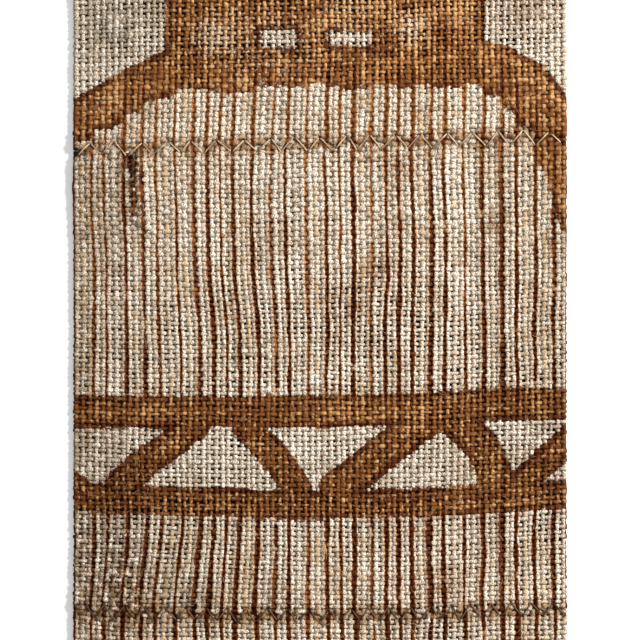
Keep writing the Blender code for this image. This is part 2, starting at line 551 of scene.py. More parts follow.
def crease_height(crease, x, y):
    across = x - crease["x"] - crease["lean"] * (y - crease["y"])
    return crease["lift"] * bell(across, crease["half_width"]) * bell(y - crease["y"], crease["reach"])


def cloth_middle(strip, x, y):
    """Height of the middle of the cloth, with its swells, its seams and the small unevenness of handwork."""
    creased = sum(crease_height(crease, x, y) for crease in CREASES)
    middle = strip.lift_at(x, y) + THICKNESS / 2 + sewn_relief(x, y) + layered(x, y, UNEVEN_CLOTH) + creased
    return np.maximum(middle, LEAST_MIDDLE)


# Yarns


def freed(distance, reach, least):
    """The share of its straying that a yarn has at this distance from an edge."""
    return np.clip(distance / reach, least, 1)


def crossings(strip):
    """Where the yarns cross. Each array has a row for each weft and a column for each warp."""
    weave = bpy.context.scene.korhogo_weave
    pitch = 2 * HALF_CUT / weave.weft_count
    weft = -HALF_CUT + (np.arange(weave.weft_count) + 0.5) * pitch
    low, high = strip.edges(weft)
    share = np.arange(weave.warp_count) / (weave.warp_count - 1)
    x = np.repeat(weft[:, None], weave.warp_count, axis=1)
    y = (low + weave.turn)[:, None] + share * (high - low - 2 * weave.turn)[:, None]
    by_selvedge = freed(np.minimum(y - low[:, None], high[:, None] - y), *BY_SELVEDGE)
    by_cut_end = freed(HALF_CUT - abs(x), *BY_CUT_END)
    pulled = freed(HALF_CUT - abs(x), *PULLED_BY_CUT_END) * weave.pull * patchy(x, y, 0.026, 61)

    def strayed(along, number, long_bend, short_bend, seed):
        short = 0.6 * patchy(along, number, short_bend, seed + 1)
        return weave.wander * (patchy(along, number, long_bend, seed) + short)

    def spaced(count, seed):
        return weave.spacing * np.random.default_rng(seed).uniform(-1, 1, count)

    own = strayed(y, 0.37 * np.arange(weave.weft_count)[:, None], 0.0060, 0.0022, strip.seed + 1)
    shared = 1.7 * weave.wander * patchy(x, y, 0.013, strip.seed + 3)
    slanted = sum(
        row["shift"] * bell(x - row["x"], row["reach"])
        * (bell(y - row["top"], row["across"]) - bell(y - row["foot"], row["across"]))
        for row in SLANTS
    )
    apart = spaced(weave.weft_count, strip.seed + 7)[:, None]
    x = x + by_cut_end * (own + shared + slanted + apart) + pulled
    own = strayed(x, 0.41 * np.arange(weave.warp_count), 0.0080, 0.0026, strip.seed + 4)
    shared = 2.4 * weave.wander * patchy(x, y, 0.014, strip.seed + 6)
    y = y + by_selvedge * (0.8 * own + shared + 0.6 * spaced(weave.warp_count, strip.seed + 8))
    return x, y, cloth_middle(strip, x, y)


def quarter_steps(values):
    """Values a quarter step before and after each one, along the last axis."""
    before = np.concatenate([values[..., :1], values[..., :-1]], -1)
    after = np.concatenate([values[..., 1:], values[..., -1:]], -1)
    steps = np.stack([values + QUARTER * (before - values), values + QUARTER * (after - values)], -1)
    return steps.reshape(*values.shape[:-1], -1)


def spun(along, yarn, seed):
    """Uneven thickness of a handspun yarn, about 1."""
    long_runs = 0.13 * patchy(along, 0.53 * yarn, 0.013, seed)
    short_runs = 0.23 * patchy(along, 0.71 * yarn, 0.0017, seed + 1)
    slub = np.clip(patchy(along, 0.83 * yarn, 0.0065, seed + 2) - 0.70, 0, 1) * 1.8
    return 1 + long_runs + short_runs + slub


def slub_swell(kind, x, y):
    """How much thicker the yarns are at the slubs of one kind of yarn."""
    swell = np.zeros(np.shape(x))
    for row in SLUBS:
        if row["yarn"] == kind:
            along, across = (y - row["y"], x - row["x"]) if kind == "weft" else (x - row["x"], y - row["y"])
            swell += row["swell"] * bell(along, row["length"]) * bell(across, SLUB_REACH)
    return swell


def corner_angles(sides):
    """Angles of a tube's corners, clockwise from the top as its yarn goes away."""
    return np.radians(90 - 360 / sides * np.arange(sides))


def ring_corners(centres, half_width, half_height, sides=SIDES):
    """The corners of each ring of each yarn. Centres has a row for each yarn and a column for each ring."""
    around = corner_angles(sides)
    ahead = np.gradient(centres, axis=1)
    ahead /= np.linalg.norm(ahead, axis=-1, keepdims=True)
    across = np.cross(ahead, (0.0, 0.0, 1.0))
    across /= np.linalg.norm(across, axis=-1, keepdims=True)
    up = np.cross(across, ahead)
    sideways = half_width[..., None, None] * across[:, :, None] * np.cos(around)[:, None]
    upward = half_height[..., None, None] * up[:, :, None] * np.sin(around)[:, None]
    return centres[:, :, None] + sideways + upward


def run_lengths(centres):
    """How far along its yarn each ring is."""
    return np.cumsum(np.linalg.norm(np.diff(centres, axis=1, prepend=centres[:, :1]), axis=-1), 1)


def tube_faces(yarns, rings, sides):
    """Four-cornered faces between the rings of each yarn, and a face that closes each of its ends."""
    start = np.arange(yarns)[:, None, None] * rings * sides
    ring = start + np.arange(rings - 1)[None, :, None] * sides
    side, beside = np.arange(sides), (np.arange(sides) + 1) % sides
    walls = np.stack([ring + side, ring + beside, ring + sides + beside, ring + sides + side], -1)
    first = start.reshape(-1, 1) + side[::-1]
    last = start.reshape(-1, 1) + (rings - 1) * sides + side
    return walls.reshape(-1, 4).tolist() + first.tolist() + last.tolist()


def new_piece(name, corners, material):
    """A piece of one or more tubes, from the corners of their rings."""
    yarns, rings, sides = corners.shape[:3]
    mesh = bpy.data.meshes.new(name)
    mesh.from_pydata(corners.reshape(-1, 3), [], tube_faces(yarns, rings, sides))
    mesh.shade_smooth()
    mesh.materials.append(material)
    lay_out_map(mesh, corners.reshape(-1, 3), 2 * yarns)
    piece = bpy.data.objects.new(name, mesh)
    bpy.context.scene.collection.objects.link(piece)
    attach(piece, "root")
    return piece


def mark(mesh, name, values):
    """Marks every point of a mesh for its material."""
    attribute = mesh.attributes.new(name, "FLOAT", "POINT")
    attribute.data.foreach_set("value", np.ascontiguousarray(values, np.float32).ravel())


def lay_out_map(mesh, points, ends):
    """A flat map of the piece, with the upper sides of its tubes over their undersides. The faces that close
    the ends stand upright, so they are tipped outwards to be seen in the map."""
    corner_points, face_sizes = np.empty(len(mesh.loops), np.int32), np.empty(len(mesh.polygons), np.int32)
    facing = np.empty(3 * len(mesh.polygons))
    mesh.loops.foreach_get("vertex_index", corner_points)
    mesh.polygons.foreach_get("loop_total", face_sizes)
    mesh.polygons.foreach_get("normal", facing)
    facing = facing.reshape(-1, 3)
    low, high = points.min(0), points.max(0)
    flat = (points[corner_points] - low) / (high - low)
    on_top = np.repeat(facing[:, 2] > FACES_UP, face_sizes)
    upper, under = (start + high * flat[:, 1] for start, high in (TOP_MAP, UNDER_MAP))
    flat[:, 1] = np.where(on_top, upper, under)
    flat[:, 0] = MAP_MARGIN + (1 - 2 * MAP_MARGIN) * flat[:, 0]
    closing = np.repeat(np.arange(len(face_sizes)) >= len(face_sizes) - ends, face_sizes)
    tipped = 0.8 * MAP_MARGIN * (closing * flat[:, 2])[:, None]
    flat[:, :2] += tipped * np.repeat(facing[:, :2], face_sizes, axis=0)
    layer = mesh.uv_layers.new(name="OFBake")
    layer.data.foreach_set("uv", flat[:, :2].astype(np.float32).ravel())


def mark_design(mesh, strip, points, middles, place, pitch):
    """Marks how far each point is from the dye and from the hatching. Place is a point's weft column."""
    x, y, _ = points.T
    middle_x, middle_y, _ = middles.T
    lines = drawn_lines(bpy.context.scene.korhogo_weave.weft_count)
    lines = lines + np.random.default_rng(STRIPS.index(strip.node) + 5).uniform(-0.3, 0.3)
    number = np.interp(place, lines, np.arange(len(lines)))
    mark(mesh, "line_number", number)
    mark(mesh, "line_gap", np.interp(place, lines, np.gradient(lines)) * pitch * MM)
    mark(mesh, "hatched", hatched(x, y))
    # Under the arch the dye ends in steps, each as wide as the ground between two hatching lines
    gap_number = np.floor(number[::SIDES])
    between = (np.interp(gap_number + 0.5, np.arange(len(lines)), lines) - place[::SIDES]) * pitch
    lift = 0.0009 * np.random.default_rng(43).uniform(-1, 1, len(lines))[gap_number.astype(int)]
    by_arch = faded(np.interp(middle_x, *ARCH) - middle_y, 0, 0.002) * faded(middle_y, 0.046, 0.052)
    aside, lifted = 0.7 * between * by_arch, lift * by_arch
    soaked = np.repeat(dye_distance(middle_x + aside, middle_y + lifted), SIDES)
    painted = dye_distance(x + np.repeat(aside, SIDES), y + np.repeat(lifted, SIDES))
    mark(mesh, "dye", MM * (0.45 * soaked + 0.55 * painted))


def mark_wear_and_shade(mesh, points):
    """Marks worn dye, stains and painted shade, grime by the seams, needle holes and the painted shadow under
    a stitch.
    """
    x, y, _ = points.T
    mark(mesh, "worn", np.clip(patches_of(WORN, x, y, "wear"), 0, 1))
    # Painted shade: the cloth is darker along its cut ends and by the lower band, laid into the tan and grey
    # marks
    left_end = 0.42 * bell(x + HALF_CUT, CUT_END_SHADE_REACH)
    right_end = 0.40 * bell(HALF_CUT - x, CUT_END_SHADE_REACH) * faded(y, -0.045, -0.020)
    edge_shade = (left_end + right_end) * faded(y, 0.070, 0.046) + 0.10 * bell(y + 0.023, 0.020)
    for kind, rows in STAINS.items():
        mark(mesh, kind, np.clip(patches_of(rows, x, y, "strength") + edge_shade, 0, 1))
    mark(mesh, "by_seam", sum(bell(y - seam_line(seam, x), GRIME_REACH) for seam in SEAMS))
    # Needle holes and parted seams, where the material paints shade
    mark(mesh, "needle", near_needles(x, y))
    # Where the material paints the shadow and grime under a stitch
    mark(mesh, "thread", stitch_shadow(x, y))


def weave_yarns(strip, system, x, y, middle, bend, column, yarn, material):
    """Builds a strip's warp or its weft along its paths, which bend above and below the middle of the cloth.
    Marks every point with what its material needs to know."""
    weave = bpy.context.scene.korhogo_weave
    habit = HABITS[system]
    dense = density(x, y)
    crimp = weave.crimp * (1 + habit["crimp"] * dense + 0.30 * patchy(x, y, 0.0012, habit["crimp_seed"]))
    centres = np.stack([x, y, middle + crimp * bend], -1)
    along = x if system == "warp" else y
    gauge = spun(along, yarn, strip.seed + habit["gauge_seed"]) + slub_swell(system, x, y)
    width, height = getattr(weave, system + "_width"), getattr(weave, system + "_height")
    fuller = 1 + habit["packing"] * weave.packing * dense
    corners = ring_corners(centres, width / 2 * gauge * fuller, height / 2 * np.sqrt(gauge))
    piece = new_piece(f"{strip.node}_{system}", corners, material)
    mesh, points = piece.data, corners.reshape(-1, 3)

    def each(values):
        return np.repeat(values.reshape(-1), SIDES)

    pitch = 2 * HALF_CUT / weave.weft_count
    place = each(column)
    if system == "weft":
        place = place + (points[:, 0] - each(x)) / pitch
    own = patchy(1.7 * yarn, 0.0 * yarn, 0.003, strip.seed + habit["tone_seed"])
    changing = patchy(run_lengths(centres), 0.61 * yarn, 0.007, strip.seed + habit["tone_seed"] + 1)
    mark(mesh, "level", (points[:, 2] - each(middle)) / (THICKNESS / 2))
    mark(mesh, "along", each(run_lengths(centres) + 0.0137 * yarn) * MM)
    mark(mesh, "across", np.tile(np.cos(corner_angles(SIDES)), yarn.size))
    mark(mesh, "tone", each(0.6 * own + 0.5 * changing))
    mark_design(mesh, strip, points, centres.reshape(-1, 3), place, pitch)
    mark_wear_and_shade(mesh, points)
    return piece


def weave_warp(strip, material):
    """The warp: yarns along the strip, cut off at both ends."""
    weave = bpy.context.scene.korhogo_weave
    x, y, middle = crossings(strip)
    weft_number, warp_number = np.indices(x.shape)
    over = np.where((weft_number + warp_number) % 2, 1.0, -1.0)
    draw = np.random.default_rng(STRIPS.index(strip.node) + 17)
    cut = draw.uniform(*CUT_SHORT, (2, weave.warp_count))

    def strung(values, start, end):
        return np.concatenate([start[:, None], quarter_steps(values.T), end[:, None]], 1)

    path_x = strung(x, -HALF_CUT + cut[0], HALF_CUT - cut[1])
    path_y = strung(y, y[0], y[-1])
    path_middle = strung(middle, middle[0], middle[-1])
    bend = np.repeat(over.T, 2, axis=1)
    bend = np.concatenate([bend[:, :1] * BEND_AT_CUT, bend, bend[:, -1:] * BEND_AT_CUT], 1)
    yarn = np.repeat(np.arange(weave.warp_count, dtype=float)[:, None], path_x.shape[1], axis=1)
    before_first, after_last = (np.full(weave.warp_count, place - 0.5) for place in (0, weave.weft_count))
    column = strung(weft_number.astype(float), before_first, after_last)
    return weave_yarns(strip, "warp", path_x, path_y, path_middle, bend, column, yarn, material)


def weave_weft(strip, material):
    """The weft: one yarn that goes back and forth across the strip, and turns at its selvedges."""
    weave = bpy.context.scene.korhogo_weave
    x, y, middle = crossings(strip)
    weft_number, warp_number = np.indices(x.shape)
    over = np.where((weft_number + warp_number) % 2, -1.0, 1.0)
    path_x, path_y, path_middle = (quarter_steps(values) for values in (x, y, middle))
    bend = np.repeat(over, 2, axis=1)
    runs = []
    turning = np.radians((40, 90, 140))
    for i in range(weave.weft_count):
        number = np.full(path_x.shape[1], float(i))
        run = np.stack([path_x[i], path_y[i], path_middle[i], bend[i], number], -1)
        run = run if i % 2 == 0 else run[::-1]
        if runs:
            before, after = runs[-1][-1], run[0]
            outward = 1 if i % 2 else -1
            share = (1 - np.cos(turning))[:, None] / 2
            turned = before + share * (after - before)
            turned[:, 1] += outward * 1.1 * weave.turn * np.sin(turning)
            runs.append(turned)
        runs.append(run)
    path_x, path_y, path_middle, bend, yarn = np.concatenate(runs).T[:, None]
    return weave_yarns(strip, "weft", path_x, path_y, path_middle, bend, yarn, yarn, material)


# Sewing and loose fibres

# Places along a stitch, and how high the thread stands there over the middle of the cloth
ALONG_STITCH = np.array((0.0, 0.12, 0.30, 0.50, 0.70, 0.88))
OVER_CLOTH = np.array((0.10, 0.62, 0.80, 0.84, 0.80, 0.62)) * THICKNESS / 2

# A loose fibre: its length and radius from least to most, how much it curls and rises, and how it thins out
FIBRE_LENGTH, FIBRE_RADIUS = (0.0010, 0.0038), (0.000028, 0.000052)
FIBRE_CURL, FIBRE_HUMP = 1.3, 0.0006
FIBRE_TAPER = np.array((0.6, 1.0, 1.0, 0.5))


def sew_zigzag(seam, material):
    """The thread that shows, and the one under the cloth that it locks with in each needle hole."""
    holes = needle_holes(seam)
    x, y = ((hole[:-1, None] + ALONG_STITCH * np.diff(hole)[:, None]).ravel() for hole in holes)
    radius = bpy.context.scene.korhogo_sewing.thread / 2
    middle = cloth_middle(strips[seam["below"]], x, y)
    over = np.tile(OVER_CLOTH, len(holes[0]) - 1) + radius
    above = middle + over
    below = np.maximum(middle - over, radius)
    centres = np.stack([np.stack([x, y, z], -1) for z in (above, below)])
    thickness = np.full(centres.shape[:2], radius)
    piece = new_piece(seam["name"], ring_corners(centres, thickness, thickness), material)
    mark(piece.data, "along", np.repeat(MM * run_lengths(centres).ravel(), SIDES))
    mark(piece.data, "across", np.tile(np.cos(corner_angles(SIDES)), thickness.size))
    return piece


def scatter_fibres(material):
    """Loose cotton fibres that lie on the cloth or stand a little off it."""
    draw = np.random.default_rng(71)
    steps = np.linspace(0, 1, len(FIBRE_TAPER))
    paths = []
    for strip in strips.values():
        count = bpy.context.scene.korhogo_sewing.fibres // len(strips)
        x = draw.uniform(-HALF_CUT + 0.002, HALF_CUT - 0.002, count)
        low, high = strip.edges(x)
        y = low + draw.uniform(0.01, 0.99, count) * (high - low)
        length = draw.uniform(*FIBRE_LENGTH, count)
        start, curl = draw.uniform(0, 2 * math.pi, count), draw.normal(0, FIBRE_CURL, count)
        angle = start[:, None] + curl[:, None] * steps
        path_x = x[:, None] + length[:, None] * np.cumsum(np.cos(angle), 1) / len(steps)
        path_y = y[:, None] + length[:, None] * np.cumsum(np.sin(angle), 1) / len(steps)
        hump = draw.uniform(0.0, FIBRE_HUMP, count)[:, None] * np.sin(math.pi * steps)
        path_z = cloth_middle(strip, path_x, path_y) + 0.95 * THICKNESS / 2 + hump
        paths.append(np.stack([path_x, path_y, path_z], -1))
    centres = np.concatenate(paths)
    radius = draw.uniform(*FIBRE_RADIUS, len(centres))[:, None] * FIBRE_TAPER
    piece = new_piece("loose_fibres", ring_corners(centres, radius, radius, FIBRE_SIDES), material)
    x, y, _ = centres.reshape(-1, 3).T
    mark(piece.data, "dye", np.repeat(MM * dye_distance(x, y), FIBRE_SIDES))
    return piece


# Materials


class Value:
    """What a node puts out. Sums, products and fades of values add the nodes that work them out."""

    def __init__(self, wiring, socket):
        self.wiring, self.socket = wiring, socket

    def __add__(self, other):
        return self.wiring.maths("ADD", self, other)

    def __sub__(self, other):
        return self.wiring.maths("SUBTRACT", self, other)

    def __rsub__(self, other):
        return self.wiring.maths("SUBTRACT", other, self)

    def __mul__(self, other):
        return self.wiring.maths("MULTIPLY", self, other)

    def __pow__(self, power):
        return self.wiring.maths("POWER", self, power)

    def faded(self, start, end, low=0.0, high=1.0):
        """Goes smoothly from low at start to high at end."""
        inputs = {"Value": self, "From Min": start, "From Max": end, "To Min": low, "To Max": high}
        return self.wiring.add("ShaderNodeMapRange", inputs, "Result", interpolation_type="SMOOTHSTEP")


class Wiring:
    """Adds nodes to a tree, so that a finish reads as a list of steps."""

    def __init__(self, tree):
        self.tree = tree
        self.place = None

    def join(self, value, socket):
        """Feeds a socket from a value, or sets it to a plain number or colour."""
        if isinstance(value, Value):
            self.tree.links.new(value.socket, socket)
        else:
            socket.default_value = value if isinstance(value, (int, float)) else tuple(value)

    def add(self, kind, inputs=None, output=0, **settings):
        node = self.tree.nodes.new(kind)
        for key, value in settings.items():
            setattr(node, key, value)
        for key, value in (inputs or {}).items():
            self.join(value, node.inputs[key])
        return Value(self, node.outputs[output])

    def maths(self, operation, *inputs):
        return self.add("ShaderNodeMath", dict(enumerate(inputs)), operation=operation)

    def noise(self, size, detail=2.0, place=None):
        """Soft random values from 0 to 1, mostly near a half, in patches of about that size in metres."""
        inputs = {"Vector": place or self.place, "Scale": 1 / size, "Detail": detail}
        return self.add("ShaderNodeTexNoise", inputs, "Fac")

    def chance(self, number):
        """A random value from 0 to 1 that is the same wherever the number is."""
        return self.add("ShaderNodeTexWhiteNoise", {"W": number}, "Value", noise_dimensions="1D")

    def north(self):
        """Height on the cloth."""
        return self.add("ShaderNodeSeparateXYZ", {0: self.place}, "Y")

    def mixed(self, share, a, b, kind="MIX"):
        settings = {"data_type": "RGBA", "blend_type": kind, "clamp_factor": True}
        return self.add("ShaderNodeMix", {0: share, 6: a, 7: b}, 2, **settings)

    def stained(self, colour, stain, share):
        return self.mixed(share, colour, stain, "MULTIPLY")

    def shaded(self, colour, shade, green, blue):
        """Darkens a colour, more so in its green and its blue, so that it turns warmer as it darkens."""
        warm = self.add("ShaderNodeCombineColor", {0: shade, 1: shade ** green, 2: shade ** blue})
        return self.mixed(1.0, colour, warm, "MULTIPLY")

    def turns(self, along, across):
        """Height of a twist round a yarn or a thread, from how far round it a place is in turns."""
        return self.maths("SINE", (along + across) * (2 * math.pi))

    def attribute(self, name):
        return self.add("ShaderNodeAttribute", None, "Fac", attribute_name=name)

    def group(self, tree, given):
        """Places a node group, and feeds each of its inputs with what is given under the same name."""
        node = self.tree.nodes.new("ShaderNodeGroup")
        node.node_tree = tree
        for socket in node.inputs:
            self.join(given[socket.name], socket)
        return {socket.name: Value(self, socket) for socket in node.outputs}

    def put_out(self, **results):
        """Ends a group with its outputs."""
        for name in results:
            self.tree.interface.new_socket(name, in_out="OUTPUT", socket_type=SOCKETS.get(name, NUMBER))
        node = self.tree.nodes.new("NodeGroupOutput")
        for name, value in results.items():
            self.join(value, node.inputs[name])
        return self.tree


NUMBER = "NodeSocketFloat"
SOCKETS = {"place": "NodeSocketVector", "ground": "NodeSocketColor", "colour": "NodeSocketColor"}


def new_group(name, inputs):
    """A node group with its wiring, and the values that come into it beside its place."""
    names = ("place", *inputs.split())
    tree = bpy.data.node_groups.new(name, "ShaderNodeTree")
    for socket in names:
        tree.interface.new_socket(socket, in_out="INPUT", socket_type=SOCKETS.get(socket, NUMBER))
    w = Wiring(tree)
    node = tree.nodes.new("NodeGroupInput")
    w.place, *given = [Value(w, node.outputs[socket]) for socket in names]
    return w, given


def new_finish(name, roughness, gloss):
    """A new material, with its wiring and its shader."""
    material = bpy.data.materials.new(name)
    material.use_nodes = True
    shader = material.node_tree.nodes["Principled BSDF"]
    shader.inputs["Roughness"].default_value = roughness
    shader.inputs["Specular IOR Level"].default_value = gloss
    w = Wiring(material.node_tree)
    w.place = w.add("ShaderNodeTexCoord", None, "Object")
    return material, w, shader


def cotton_group(dye):
    """Handspun cotton: the yarn's own shade, specks of husk, the twist of its fibres, and fibre streaks with
    painted shade and highlight along the twist.
    """
    w, (tone, along, across) = new_group("Handspun cotton", "tone along across")
    mottle = w.noise(0.0011, 3.0)
    dust = tone * -0.45 + w.noise(0.012).faded(0.35, 0.70, 0.0, 0.50) + mottle.faded(0.42, 0.66, 0.0, 0.50)
    colour = w.mixed(dust, dye.cotton, dye.dusty_cotton)
    speck = w.noise(0.00046, 1.0).faded(0.67, 0.74, 0.0, 0.75)
    colour = w.mixed(speck, colour, dye.husk)
    ply = w.turns(along * 1.7 + across * 0.55, mottle * 1.2)
    fibre = w.noise(0.00034, 3.0)
    # Fibre streaks, partly painted shade and highlight along the twist, warmer where darker
    streak_and_twist_shade = (ply * 0.10 + fibre).faded(0.30, 0.68, 0.50, 1.28)
    return w.put_out(colour=w.shaded(colour, streak_and_twist_shade, 1.14, 1.34), height=ply * 0.35 + fibre * 1.5)


def dye_group(dye):
    """Brown dye inside the painted shapes: paler on the crests, from wear and painted highlight, darker in
    the weave as painted shade, and darker along its outlines.
    """
    w, (ground, distance, level, tone, worn) = new_group("Brown dye", "ground dye level tone worn")
    north = w.north()
    small = w.noise(0.0010)
    # How far a place stands out of the weave: paler on the crests, from wear and as a painted highlight,
    # darker in the hollows as painted shade, darker towards the bottom of the cloth and paler near its top
    crest_wear_and_shading = level + (small - 0.5) * 1.6 + (w.noise(0.0060, 3.0) - 0.5) * 2.4 + tone * 0.65
    crest_wear_and_shading = crest_wear_and_shading - north.faded(0.060, -0.012, 0.15, 0.42) + north.faded(0.078, 0.088, 0.0, 0.30)
    crest_wear_and_shading = crest_wear_and_shading + worn * 0.8 + (w.noise(0.017) - 0.5) * 2.2
    light = crest_wear_and_shading.faded(0.22, 1.45)
    brown = w.mixed(light, dye.brown, dye.pale_brown)
    brown = w.mixed(crest_wear_and_shading.faded(0.15, -1.1) * 0.85, brown, dye.dark_brown)
    # Fibres with hardly any dye left, more of them on the crests where the painted highlight falls
    rubbing = small + light * 0.12 + worn * 0.20 + north.faded(0.010, -0.026, 0.0, 0.065)
    brown = w.mixed(rubbing.faded(0.61, 0.73, 0.0, 0.84), brown, dye.rubbed)
    # The edge, which bleeds along the yarns, and the darker outline inside it
    edge = distance + (w.noise(0.0009) - 0.5) * 1.7
    outline = w.noise(0.0085).faded(0.40, 0.54, 0.10, 0.95)
    brown = w.mixed(edge.faded(-1.70, -0.90) * outline, brown, dye.dark_brown)
    # Bare flecks where the dye is worn away
    fleck = worn * 0.30 + w.noise(0.0011)
    bared = fleck.faded(0.62, 0.76, 0.0, 0.7) * worn.faded(0.02, 0.25)
    cover = edge.faded(0.12, -0.12) * (1.0 - bared)
    return w.put_out(colour=w.mixed(cover, ground, brown), cover=cover)


def hatching_group(dye):
    """Fine lines drawn down the cloth along its wefts, each with its own weight."""
    w, (ground, number, gap, here, cover, worn) = new_group(
        "Drawn lines", "ground line_number line_gap hatched cover worn"
    )
    north = w.north()
    foot = north.faded(-0.026, -0.034)
    bare = 1.0 - cover
    nearest = w.maths("ROUND", number)
    off = w.maths("ABSOLUTE", number - nearest) * gap
    # Each line's own strength, and its weight, which changes along it
    own = w.chance(nearest)
    apart = w.add("ShaderNodeCombineXYZ", {0: nearest * 0.31})
    shifted = w.add("ShaderNodeVectorMath", {0: w.place, 1: apart}, operation="ADD")
    weight = w.noise(0.0048, 3.0, shifted)
    rough = w.noise(0.00075)
    reach = own.faded(0.0, 1.0, 0.94, 0.60) * (dye.line_width * MM / 2) - worn * 0.40
    reach = reach + (rough - 0.5) * 0.80 + (weight - 0.5) * 0.45 + foot * 0.06
    outside = off - reach
    # Dye that has run out beside a line
    run = outside.faded(0.55, 0.0) * w.noise(0.0029, 3.0).faded(0.40, 0.62, 0.12, 0.70)
    ground = w.mixed(run * here, ground, dye.pale_brown)
    # Faint tan lines half-way between some of the others
    between = w.maths("FLOOR", number)
    faint = (w.maths("ABSOLUTE", number - between - 0.5) * gap).faded(0.50, 0.10, 0.0, 0.68)
    faint = faint * w.chance(between + 0.5).faded(0.32, 0.64) * w.noise(0.0036, 3.0).faded(0.42, 0.60)
    ground = w.mixed(faint * here, ground, dye.rubbed)
    # The ink, which is paler where the brush pressed less, and in the upper part of the cloth
    paler = own * 0.45 + weight + (rough - 0.5) * 0.9 - foot * 0.16
    ink = w.mixed(paler.faded(0.70, 1.12), dye.dark_brown, dye.rust)
    weak = own * 0.60 + weight * 0.85 + north.faded(0.010, 0.045, 0.0, 0.14)
    ink = w.mixed(weak.faded(0.86, 1.20, 0.0, 0.50), ink, dye.pale_brown)
    ink = w.mixed(north.faded(0.044, 0.056, 0.0, 0.42) * bare, ink, dye.pale_brown)
    # The lines show through the brown shapes too, more weakly
    drawn = w.maths("MAXIMUM", here, cover * 0.48)
    line = outside.faded(0.22, -0.12) * drawn * weight.faded(0.28, 0.46, 0.22, 1.0)
    ground = w.mixed(line.faded(0.0, 0.5, 0.0, 0.9) * bare, ground, dye.pale_brown)
    return w.put_out(colour=w.mixed(line.faded(0.20, 0.75, 0.0, 0.96), ground, ink))


def soiling_and_shade_group():
    """Stains, grime at the seams, and painted shade under the stitches, deep in the weave and in the needle
    holes.
    """
    w, (ground, level, tan, grey, seam, needle, thread) = new_group(
        "Soiling", "ground level tan grey by_seam needle thread"
    )
    cloud = w.noise(0.0016, 3.0)
    # Stains, and through the same marks the painted shade at the corners, by the crease and along the cut
    # ends
    colour = w.stained(ground, TAN_STAIN_AND_SHADE, tan * cloud.faded(0.36, 0.62) * 0.85)
    colour = w.stained(colour, GREY_STAIN_AND_SHADE, grey * cloud.faded(0.30, 0.60) * 0.75)
    colour = w.stained(colour, SEAM_GRIME, seam * w.noise(0.0024, 3.0).faded(0.38, 0.52) * 0.84)
    colour = w.stained(colour, JOINT_GRIME, (seam + (cloud - 0.5) * 1.5).faded(0.84, 1.10) * 0.22)
    # Painted shadow and grime under each stitch
    colour = w.stained(colour, STITCH_SHADOW_AND_GRIME, thread * cloud.faded(0.30, 0.56, 0.15, 0.80))
    # Painted shade: the colour darkens and warms deep in the weave, and darkens in the needle holes and where
    # a seam has parted
    depth = level + (w.noise(0.0013) - 0.5) * 1.3
    shade = depth.faded(-0.66, 0.32, 0.025, 1.0) * needle.faded(0.25, 0.85, 1.0, 0.12)
    return w.put_out(colour=w.shaded(colour, shade, 1.19, 1.47))


def painted_cotton():
    """The cloth's finish, on every yarn."""
    dye = bpy.context.scene.korhogo_dye
    material, w, shader = new_finish("painted_cotton", 0.85, 0.10)
    marks = {"place": w.place, **{name: w.attribute(name) for name in MARKS}}
    cotton = w.group(cotton_group(dye), marks)
    painted = w.group(dye_group(dye), {**marks, "ground": cotton["colour"]})
    lined = w.group(hatching_group(dye), {**marks, "ground": painted["colour"], "cover": painted["cover"]})
    soiled_and_shaded = w.group(soiling_and_shade_group(), {**marks, "ground": lined["colour"]})
    relief = w.add("ShaderNodeBump", {"Strength": 0.55, "Distance": 0.00012, "Height": cotton["height"]})
    w.join(soiled_and_shaded["colour"], shader.inputs["Base Color"])
    w.join(relief, shader.inputs["Normal"])
    return material


def sewing_thread(name, colour):
    """Twisted thread with a slight gloss, faded in places, grimy in others, and with painted shade in the
    grooves of its twist.
    """
    material, w, shader = new_finish(name, 0.5, 0.4)
    twist = w.turns(w.attribute("along") * 2.4, w.attribute("across") * 0.6)
    paler = tuple(min(1.0, 1.5 * c) for c in colour[:3]) + (1.0,)
    darker = tuple(0.35 * c for c in colour[:3]) + (1.0,)
    shade = w.mixed(w.noise(0.0024).faded(0.35, 0.65), colour, paler)
    shade = w.mixed(w.noise(0.0040, 3.0).faded(0.48, 0.62, 0.0, 0.75), shade, darker)
    # Painted shade in the grooves of the twist
    shade = w.mixed(twist.faded(0.2, -0.9, 0.0, 0.8), shade, darker)
    relief = w.add("ShaderNodeBump", {"Strength": 0.5, "Distance": 0.00008, "Height": twist})
    w.join(shade, shader.inputs["Base Color"])
    w.join(relief, shader.inputs["Normal"])
    return material


def loose_cotton(dye):
    """Fibres of the cloth, browned where they come out of a painted shape."""
    material, w, shader = new_finish("loose_cotton", 0.8, 0.5)
    colour = w.mixed(w.noise(0.004).faded(0.4, 0.6), dye.dusty_cotton, dye.rubbed)
    colour = w.mixed(w.attribute("dye").faded(0.3, -0.3, 0.0, 0.8), colour, dye.pale_brown)
    w.join(colour, shader.inputs["Base Color"])
    return material


def stage_finish(name, colour, glow):
    material, w, shader = new_finish(name, 0.9, 0.1)
    w.join(colour, shader.inputs["Base Color"])
    shader.inputs["Emission Color"].default_value = (1, 1, 1, 1)
    shader.inputs["Emission Strength"].default_value = glow
    return material


# The stage


def lay_square(name, size, height, finish):
    """A flat square on the stage."""
    bpy.ops.object.select_all(action="DESELECT")
    bpy.ops.mesh.primitive_plane_add(size=size, location=(0, 0, height))
    square = bpy.context.object
    square.name = name
    square.data.materials.append(finish)
    return square


def hang_lamp(name, place, size, watts):
    """A square lamp that faces the middle of the cloth."""
    lamp = bpy.data.lights.new(name, "AREA")
    lamp.size = size
    lamp.energy = watts
    light = bpy.data.objects.new(name, lamp)
    bpy.context.scene.collection.objects.link(light)
    light.location = place
    light.rotation_euler = (-Vector(place)).to_track_quat("-Z", "Y").to_euler()


